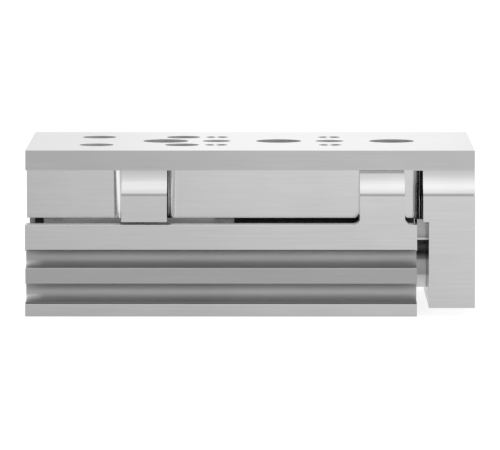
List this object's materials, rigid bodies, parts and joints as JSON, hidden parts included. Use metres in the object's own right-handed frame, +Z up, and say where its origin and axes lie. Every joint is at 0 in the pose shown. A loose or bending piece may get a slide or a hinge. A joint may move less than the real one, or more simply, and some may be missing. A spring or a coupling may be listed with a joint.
{
  "type": "pneumatic slide table",
  "caption": "Compact twin-piston pneumatic slide table with a ball-guided top plate, one-piece front yoke, stop tabs and sensor slots.",
  "frame": {"origin": "middle of the retracted table's length and width, at the height of the housing's underside", "axes": "+X is the way the table extends, towards the yoke; +Z is up out of the payload face; +Y is the left side seen from the rear"},
  "size_m": [0.078, 0.0486, 0.0287],
  "materials": {
    "housing_aluminium": "milled and drawn, natural anodised",
    "table_aluminium": "fine milled, natural anodised",
    "turned_aluminium": "turned",
    "rail_steel": "ground",
    "carriage_steel": "ground",
    "screw_steel": "bright zinc",
    "ring_steel": "spring steel, phosphated",
    "rod_steel": "hard chromed",
    "ball_steel": "polished",
    "bronze": "sintered",
    "cap_plastic": "moulded",
    "seal_rubber": "moulded",
    "buffer_rubber": "moulded",
    "guide_plastic": "machined",
    "magnet": "bonded ferrite"
  },
  "bodies": {
    "base": {"housing": "housing_aluminium", "guide_rail": "rail_steel", "rail_screws": "screw_steel", "channel_plugs": "screw_steel", "end_plug_left": "turned_aluminium", "plug_o_ring_left": "seal_rubber", "plug_ring_left": "ring_steel", "rear_buffer_left": "buffer_rubber", "front_buffer_left": "buffer_rubber", "rod_bush_left": "bronze", "rod_seal_left": "seal_rubber", "gland_disc_left": "turned_aluminium", "gland_ring_left": "ring_steel", "end_plug_right": "turned_aluminium", "plug_o_ring_right": "seal_rubber", "plug_ring_right": "ring_steel", "rear_buffer_right": "buffer_rubber", "front_buffer_right": "buffer_rubber", "rod_bush_right": "bronze", "rod_seal_right": "seal_rubber", "gland_disc_right": "turned_aluminium", "gland_ring_right": "ring_steel"},
    "table": {"slide_table": "table_aluminium", "carriage_block": "carriage_steel", "carriage_cap_rear": "cap_plastic", "carriage_cap_front": "cap_plastic", "carriage_seal_rear": "seal_rubber", "carriage_seal_front": "seal_rubber", "ball_loop_left": "ball_steel", "ball_loop_right": "ball_steel", "carriage_screws": "screw_steel", "cap_screws": "screw_steel", "yoke_screws": "screw_steel", "piston_rod_left": "rod_steel", "piston_rod_right": "rod_steel", "piston_left": "turned_aluminium", "piston_right": "turned_aluminium", "piston_seal_left": "seal_rubber", "piston_seal_right": "seal_rubber", "piston_magnet_left": "magnet", "piston_magnet_right": "magnet", "piston_guide_left": "guide_plastic", "piston_guide_right": "guide_plastic"}
  },
  "joints": [
    {"name": "table_slide", "type": "slide", "parent": "base", "child": "table", "axis": [1, 0, 0], "range_m": [0, 0.03]}
  ]
}
